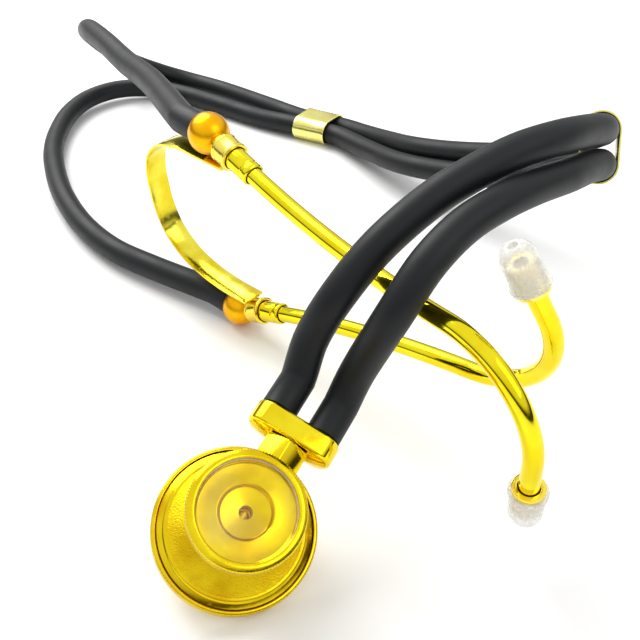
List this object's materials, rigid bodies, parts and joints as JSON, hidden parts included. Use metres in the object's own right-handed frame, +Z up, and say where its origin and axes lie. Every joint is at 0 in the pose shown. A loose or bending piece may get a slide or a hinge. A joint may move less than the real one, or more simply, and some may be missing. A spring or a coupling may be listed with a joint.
{
  "type": "stethoscope",
  "caption": "Double-sided acoustic stethoscope: gold-finished turning chestpiece, black rubber hoses held by clips, and a leaf-sprung headset with soft ear tips.",
  "frame": {"origin": "middle of the chestpiece's and headset's plan, on the surface that the object lies on", "axes": "+Y runs along the longest side of the chestpiece and headset together, from the chestpiece towards the hoses' far loop; +Z is up"},
  "size_m": [0.2629, 0.4048, 0.1056],
  "materials": {
    "polished_gold": "mirror-polished gold plating",
    "knurled_gold": "gold plating with a knurled rim",
    "amber_gold": "orange-gold plating, polished",
    "spring_gold": "bright gold plating on spring strip",
    "black_rubber": "matt black with a soft sheen",
    "clear_vinyl": "soft translucent vinyl",
    "clear_film": "clear stiff film",
    "white_gasket": "matt",
    "spring_steel": "plain bright steel"
  },
  "bodies": {
    "root": {"valve_stem": "polished_gold", "hex_collar": "polished_gold", "hose_connector": "polished_gold", "chest_barb_a": "polished_gold", "chest_barb_b": "polished_gold", "hose_a": "black_rubber", "hose_b": "black_rubber", "front_clip": "spring_gold", "rear_clip": "spring_gold", "left_ball": "amber_gold", "left_barb": "polished_gold", "right_ball": "amber_gold", "right_barb": "polished_gold", "leaf_spring": "spring_gold"},
    "chest_head": {"valve_drum": "polished_gold", "click_ball": "spring_steel", "click_spring": "spring_steel", "click_plug": "polished_gold", "large_cup": "polished_gold", "large_gasket": "white_gasket", "large_diaphragm": "clear_film", "small_cup": "polished_gold", "small_gasket": "white_gasket", "small_diaphragm": "clear_film"},
    "large_ring": {"large_retaining_ring": "knurled_gold"},
    "small_ring": {"small_retaining_ring": "knurled_gold"},
    "left_arm": {"left_ferrule": "polished_gold", "left_cuff": "spring_gold", "left_ear_tube": "polished_gold", "left_tip_core": "polished_gold"},
    "left_tip": {"left_ear_tip": "clear_vinyl"},
    "right_arm": {"right_ferrule": "polished_gold", "right_cuff": "spring_gold", "right_ear_tube": "polished_gold", "right_tip_core": "polished_gold"},
    "right_tip": {"right_ear_tip": "clear_vinyl"}
  },
  "joints": [
    {"name": "chest_swivel", "type": "hinge", "parent": "root", "child": "chest_head", "pos_m": [-0.02125, -0.06802, 0.02696], "axis": [0.487, 0.8004, 0.3496], "range_deg": [0, 180]},
    {"name": "large_ring_turn", "type": "hinge", "parent": "chest_head", "child": "large_ring", "pos_m": [-0.02125, -0.06802, 0.02696], "axis": [0.203, -0.493, 0.846], "continuous": true},
    {"name": "small_ring_turn", "type": "hinge", "parent": "chest_head", "child": "small_ring", "pos_m": [-0.02125, -0.06802, 0.02696], "axis": [0.203, -0.493, 0.846], "continuous": true},
    {"name": "left_arm_open", "type": "hinge", "parent": "root", "child": "left_arm", "pos_m": [-0.03789, 0.05078, 0.08496], "axis": [-0.7168, -0.6865, -0.1221], "range_deg": [0, 1.6], "stiffness_Nm_per_rad": 0.5, "springref_deg": -5.73},
    {"name": "right_arm_open", "type": "hinge", "parent": "root", "child": "right_arm", "pos_m": [-0.03182, 0.05818, 0.00775], "axis": [0.7168, 0.6865, 0.1221], "range_deg": [0, 14], "stiffness_Nm_per_rad": 0.5, "springref_deg": -5.73},
    {"name": "left_tip_turn", "type": "hinge", "parent": "left_arm", "child": "left_tip", "pos_m": [0.0581, -0.05652, 0.02224], "axis": [0.0753, 0.1528, -0.9854], "continuous": true},
    {"name": "right_tip_turn", "type": "hinge", "parent": "right_arm", "child": "right_tip", "pos_m": [0.05263, -0.03699, 0.08516], "axis": [-0.4765, -0.0084, 0.8792], "continuous": true}
  ]
}
